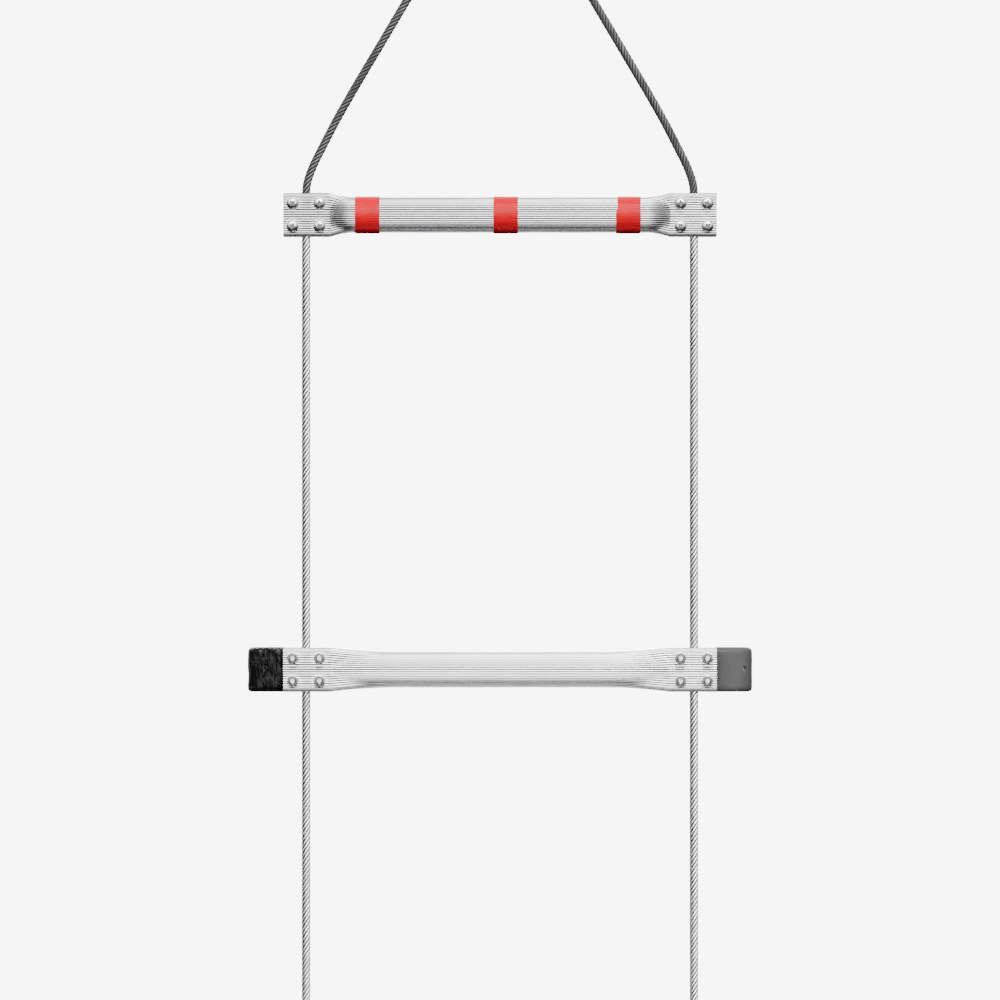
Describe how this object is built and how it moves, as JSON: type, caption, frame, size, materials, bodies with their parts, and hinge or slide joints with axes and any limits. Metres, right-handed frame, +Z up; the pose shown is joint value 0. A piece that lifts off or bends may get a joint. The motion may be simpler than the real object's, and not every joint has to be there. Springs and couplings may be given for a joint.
{
  "type": "escape rope ladder",
  "caption": "Wire rope ladder with ribbed aluminium rungs pressed flat at their ends, a forked bridle under a snap hook, and rubber sleeved standoffs that keep a rung off the wall.",
  "frame": {"origin": "the point inside the top of the hook that bears on whatever holds the ladder up", "axes": "+Z up along the hanging ladder, +X along the rungs to the viewer's right, +Y towards the wall that the standoffs rest on"},
  "size_m": [0.4, 0.125, 1.234],
  "materials": {
    "rung_aluminium": "ribbed extrusion, mill finish, pressed flat at the ends",
    "red_tape": "glossy red tape",
    "zinc_fastener": "bright zinc plating",
    "standoff_steel": "zinc plated strap",
    "standoff_rubber": "dark rubber, glossy on the left and duller on the right",
    "bridle_wire": "dull, dark wire rope",
    "side_wire": "bright galvanised wire rope",
    "hook_steel": "satin zinc plated forging",
    "spring_steel": "bright spring wire",
    "thimble_steel": "bright zinc plating",
    "ferrule_aluminium": "pressed aluminium"
  },
  "bodies": {
    "hook": {"hook_frame": "hook_steel", "gate_rivet": "zinc_fastener"},
    "gate": {"hook_gate": "hook_steel", "gate_spring": "spring_steel"},
    "bridle": {"thimble": "thimble_steel", "eye_ferrule": "ferrule_aluminium", "bridle_rope": "bridle_wire"},
    "top_rung": {"top_rung_tube": "rung_aluminium", "left_red_band": "red_tape", "centre_red_band": "red_tape", "right_red_band": "red_tape", "top_rung_screw_1": "zinc_fastener", "top_rung_nut_1": "zinc_fastener", "top_rung_screw_2": "zinc_fastener", "top_rung_nut_2": "zinc_fastener", "top_rung_screw_3": "zinc_fastener", "top_rung_nut_3": "zinc_fastener", "top_rung_screw_4": "zinc_fastener", "top_rung_nut_4": "zinc_fastener", "top_rung_screw_5": "zinc_fastener", "top_rung_nut_5": "zinc_fastener", "top_rung_screw_6": "zinc_fastener", "top_rung_nut_6": "zinc_fastener", "top_rung_screw_7": "zinc_fastener", "top_rung_nut_7": "zinc_fastener", "top_rung_screw_8": "zinc_fastener", "top_rung_nut_8": "zinc_fastener", "left_upper_rope": "side_wire", "right_upper_rope": "side_wire"},
    "middle_rung": {"middle_rung_tube": "rung_aluminium", "middle_rung_screw_1": "zinc_fastener", "middle_rung_nut_1": "zinc_fastener", "middle_rung_screw_2": "zinc_fastener", "middle_rung_nut_2": "zinc_fastener", "middle_rung_screw_3": "zinc_fastener", "middle_rung_nut_3": "zinc_fastener", "middle_rung_screw_4": "zinc_fastener", "middle_rung_nut_4": "zinc_fastener", "middle_rung_screw_5": "zinc_fastener", "middle_rung_nut_5": "zinc_fastener", "middle_rung_screw_6": "zinc_fastener", "middle_rung_nut_6": "zinc_fastener", "middle_rung_screw_7": "zinc_fastener", "middle_rung_nut_7": "zinc_fastener", "middle_rung_screw_8": "zinc_fastener", "middle_rung_nut_8": "zinc_fastener", "left_standoff_strap": "standoff_steel", "left_standoff_sleeve": "standoff_rubber", "right_standoff_strap": "standoff_steel", "right_standoff_sleeve": "standoff_rubber", "left_lower_rope": "side_wire", "right_lower_rope": "side_wire"},
    "bottom_rung": {"bottom_rung_tube": "rung_aluminium", "left_stop_ferrule": "ferrule_aluminium", "right_stop_ferrule": "ferrule_aluminium"}
  },
  "joints": [
    {"name": "gate_hinge", "type": "hinge", "parent": "hook", "child": "gate", "pos_m": [0, -0.0185, -0.066], "axis": [-1, 0, 0], "range_deg": [0, 25], "stiffness_Nm_per_rad": 0.1, "springref_deg": -28.65, "deforming": ["gate_spring"]},
    {"name": "bridle_swing", "type": "hinge", "parent": "hook", "child": "bridle", "pos_m": [0, 0, -0.0734], "axis": [1, 0, 0], "range_deg": [-60, 60]},
    {"name": "top_rung_flex", "type": "hinge", "parent": "bridle", "child": "top_rung", "pos_m": [0, 0, -0.426], "axis": [1, 0, 0], "range_deg": [-45, 45], "deforming": ["bridle_rope"]},
    {"name": "middle_rung_flex", "type": "hinge", "parent": "top_rung", "child": "middle_rung", "pos_m": [0, 0, -0.646], "axis": [1, 0, 0], "range_deg": [-90, 90], "deforming": ["left_upper_rope", "right_upper_rope"]},
    {"name": "bottom_rung_flex", "type": "hinge", "parent": "middle_rung", "child": "bottom_rung", "pos_m": [0, 0, -1.006], "axis": [1, 0, 0], "range_deg": [-90, 90], "deforming": ["left_lower_rope", "right_lower_rope"]}
  ]
}
